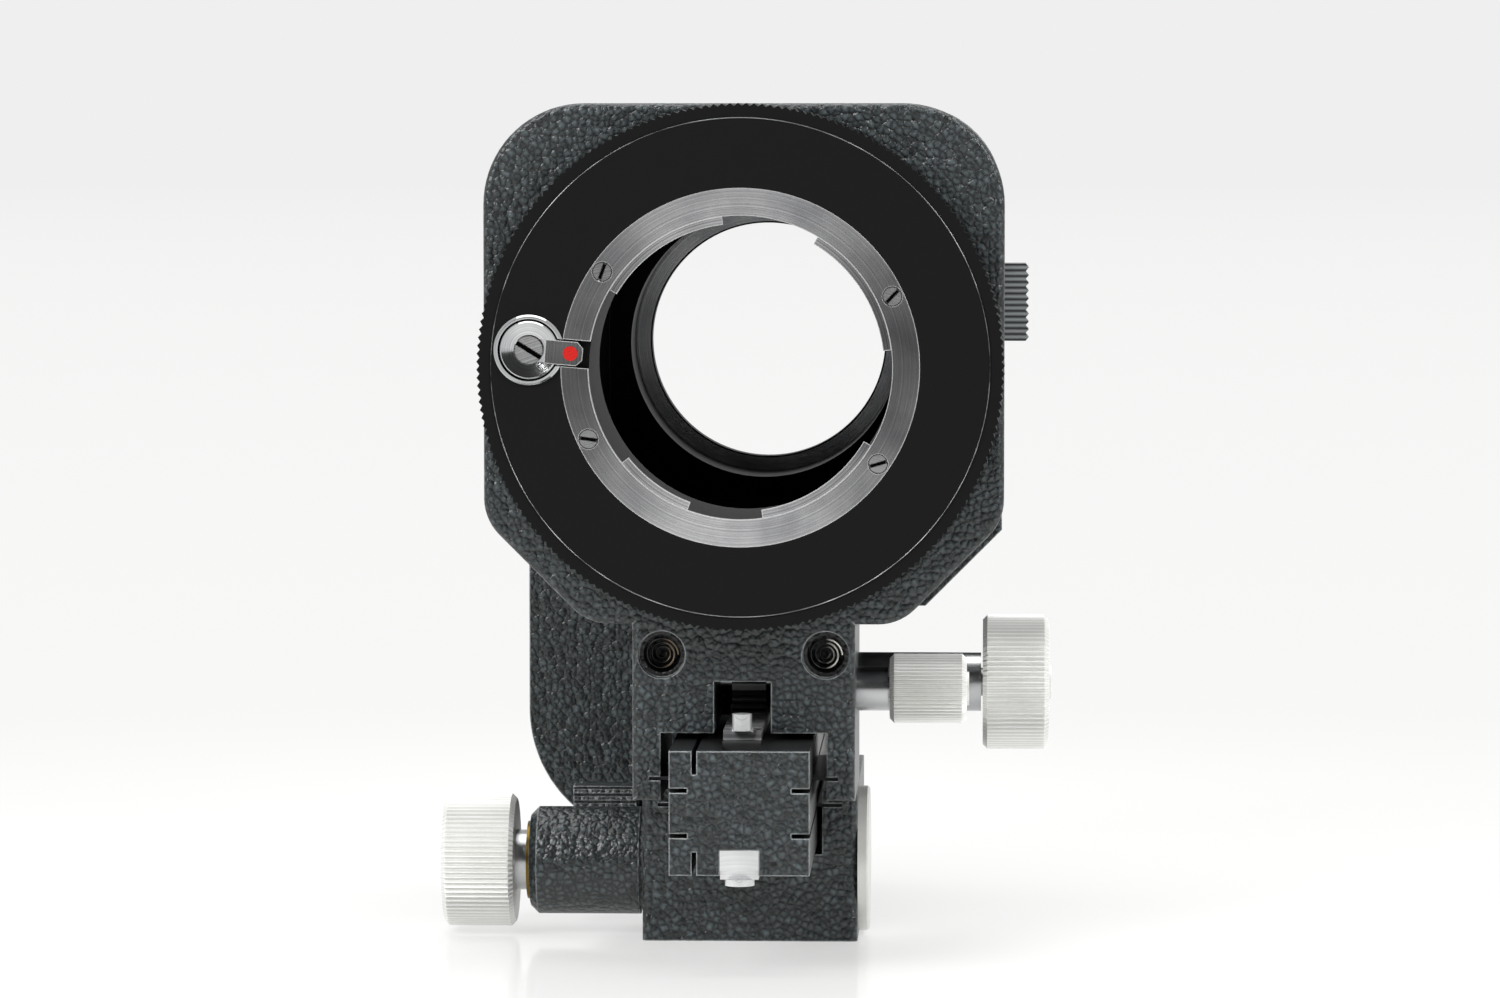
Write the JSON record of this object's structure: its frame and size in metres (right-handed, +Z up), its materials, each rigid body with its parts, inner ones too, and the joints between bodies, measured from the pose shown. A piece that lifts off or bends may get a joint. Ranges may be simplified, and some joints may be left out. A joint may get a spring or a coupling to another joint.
{
  "type": "macro bellows unit",
  "caption": "Extension bellows on a geared focusing rail, with a rotating lens ring, a rotating camera ring and a tripod base.",
  "frame": {"origin": "mouth of the tripod socket, in the middle of the base block's underside", "axes": "+Z up; +Y along the rail from the lens end to the camera end; +X to the right of someone facing the lens end"},
  "size_m": [0.1093, 0.1459, 0.149],
  "materials": {
    "hammertone": "hammertone enamel",
    "satin_aluminium": "satin anodised",
    "steel": "turned",
    "chrome": "brushed chrome",
    "brass": "turned",
    "black_ring": "matte black",
    "black_rail": "black anodised",
    "bellows_cloth": "grained",
    "black_frame": "satin black",
    "red_enamel": "enamel"
  },
  "bodies": {
    "base": {"base_block": "hammertone", "tripod_bush": "steel", "base_gib_left": "steel", "base_gib_right": "steel", "base_side_cover": "steel", "focus_barrel": "hammertone", "focus_bush": "brass"},
    "focus_drive": {"focus_knob": "satin_aluminium", "focus_shaft": "steel", "focus_pinion": "steel"},
    "base_lock": {"base_lock_lever": "hammertone", "base_lock_screw": "steel"},
    "rail": {"rail": "black_rail", "rail_front_cap": "hammertone", "upper_rack": "steel", "lower_rack": "steel", "rack_stop_screw": "steel", "rack_end_screw": "steel", "rear_standard": "hammertone", "rail_screws": "steel", "bellows_rear_frame": "black_frame", "bellows": "bellows_cloth", "release_spring": "steel"},
    "front_standard": {"front_standard": "hammertone", "front_gib_left": "steel", "front_gib_right": "steel", "extension_sleeve": "steel", "lock_sleeve": "steel", "bellows_front_frame": "black_frame", "brake_plug": "brass"},
    "extension_drive": {"extension_knob": "satin_aluminium", "extension_shaft": "steel", "extension_pinion": "steel"},
    "rail_lock": {"lock_knob": "satin_aluminium", "lock_screw": "steel"},
    "lens_ring": {"lens_ring": "black_ring", "lens_retainer": "black_ring", "lens_bayonet": "chrome", "lens_screws": "steel", "lock_bezel": "chrome", "lock_spring": "steel"},
    "lens_lock": {"lock_button": "chrome", "lock_tongue": "chrome", "lock_button_screw": "steel", "index_dot": "red_enamel"},
    "camera_ring": {"camera_ring": "black_ring", "camera_retainer": "black_ring", "camera_bayonet": "chrome", "camera_screws": "steel"},
    "rotation_release": {"rotation_release": "black_frame"}
  },
  "joints": [
    {"name": "focusing_slide", "type": "slide", "parent": "base", "child": "rail", "axis": [0, 1, 0], "range_m": [-0.0155, 0.04]},
    {"name": "focus_knob_spin", "type": "hinge", "parent": "base", "child": "focus_drive", "pos_m": [0, -0.018, 0.013], "axis": [1, 0, 0], "range_deg": [-515, 205]},
    {"name": "base_lock_turn", "type": "hinge", "parent": "base", "child": "base_lock", "pos_m": [-0.027, 0.006, 0.0195], "axis": [1, 0, 0], "range_deg": [-25, 35]},
    {"name": "extension_slide", "type": "slide", "parent": "rail", "child": "front_standard", "axis": [0, 1, 0], "range_m": [-0.024, 0.06], "deforming": ["bellows"]},
    {"name": "extension_knob_spin", "type": "hinge", "parent": "front_standard", "child": "extension_drive", "pos_m": [0, -0.029, 0.0465], "axis": [1, 0, 0], "range_deg": [-580, 235]},
    {"name": "rail_lock_turn", "type": "hinge", "parent": "front_standard", "child": "rail_lock", "pos_m": [0.03, -0.042, 0.0465], "axis": [1, 0, 0], "range_deg": [-270, 45]},
    {"name": "lens_ring_turn", "type": "hinge", "parent": "front_standard", "child": "lens_ring", "pos_m": [0, -0.06, 0.104], "axis": [0, 1, 0], "range_deg": [-94.8, 85.2]},
    {"name": "lens_lock_press", "type": "slide", "parent": "lens_ring", "child": "lens_lock", "axis": [0, 1, 0], "range_m": [0, 0.0018], "stiffness_N_per_m": 400, "springref_m": -0.001, "deforming": ["lock_spring"]},
    {"name": "camera_ring_turn", "type": "hinge", "parent": "rail", "child": "camera_ring", "pos_m": [0, 0.055, 0.104], "axis": [0, 1, 0], "range_deg": [0, 90]},
    {"name": "rotation_release_press", "type": "slide", "parent": "rail", "child": "rotation_release", "axis": [-1, 0, 0], "range_m": [0, 0.0015], "stiffness_N_per_m": 400, "springref_m": -0.001, "deforming": ["release_spring"]}
  ],
  "couplings": [
    {"joint": "focus_knob_spin", "follows": "focusing_slide", "rad_per_m": -222.22},
    {"joint": "extension_knob_spin", "follows": "extension_slide", "rad_per_m": -166.67}
  ]
}
